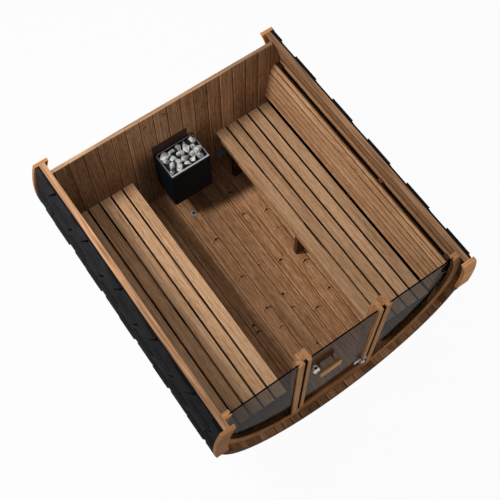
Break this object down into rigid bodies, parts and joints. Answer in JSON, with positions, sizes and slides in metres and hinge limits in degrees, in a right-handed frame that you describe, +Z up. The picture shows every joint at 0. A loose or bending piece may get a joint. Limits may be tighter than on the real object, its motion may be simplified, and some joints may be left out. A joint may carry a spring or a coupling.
{
  "type": "cutaway barrel sauna",
  "caption": "Timber barrel sauna cut open on a level plane, with facing slatted benches, a stone heater on the back wall and a glazed front whose door opens outward",
  "frame": {"origin": "on the ground under the middle of the part", "axes": "+Z up, +Y from the glazed front to the back wall, +X to the right seen from the front"},
  "size_m": [2.1938, 2.341, 1.502],
  "materials": {
    "staves": "oiled heat-treated softwood",
    "cradle_wood": "rough-sawn softwood",
    "arch_wood": "planed heat-treated softwood",
    "shingle": "mineral-faced bitumen, matt",
    "floor_wood": "planed heat-treated softwood with knots",
    "wall_wood": "matched boards of heat-treated softwood",
    "frame_wood": "planed heat-treated softwood",
    "tinted_glass": "grey tinted, polished",
    "bench_wood": "sanded hardwood",
    "support_wood": "planed heat-treated softwood",
    "polished_metal": "satin",
    "black_metal": "black powder coat",
    "stones": "broken grey rock",
    "vent_plastic": "matt"
  },
  "bodies": {
    "sauna": {"bottom_staves": "staves", "left_low_staves": "staves", "right_low_staves": "staves", "left_mid_staves": "staves", "right_mid_staves": "staves", "left_top_staves": "staves", "right_top_staves": "staves", "cradles": "cradle_wood", "front_arches": "arch_wood", "back_arches": "arch_wood", "left_shingles": "shingle", "right_shingles": "shingle", "room_floor": "floor_wood", "back_wall": "wall_wood", "door_sill": "frame_wood", "left_rail": "frame_wood", "right_rail": "frame_wood", "left_stile": "frame_wood", "right_stile": "frame_wood", "left_jamb": "frame_wood", "right_jamb": "frame_wood", "room_posts": "frame_wood", "left_pane": "tinted_glass", "right_pane": "tinted_glass", "left_bench": "bench_wood", "right_bench": "bench_wood", "bench_aprons": "bench_wood", "left_backrest": "bench_wood", "right_backrest": "bench_wood", "left_supports": "support_wood", "right_supports": "support_wood", "backrest_blocks": "support_wood", "hinge_bracket": "polished_metal", "heater_rim": "polished_metal", "floor_drain": "polished_metal", "heater_casing": "black_metal", "heater_hangers": "black_metal", "heater_shield": "black_metal", "stone_bed": "stones", "wall_vent": "vent_plastic"},
    "door": {"door_pane": "tinted_glass", "outer_pull": "bench_wood", "inner_pull": "bench_wood", "door_knob": "polished_metal", "hinge_leaf": "polished_metal"}
  },
  "joints": [
    {"name": "door_hinge", "type": "hinge", "parent": "sauna", "child": "door", "pos_m": [0.275, -1.104, 0.452], "axis": [0, 0, 1], "range_deg": [0, 95]}
  ]
}
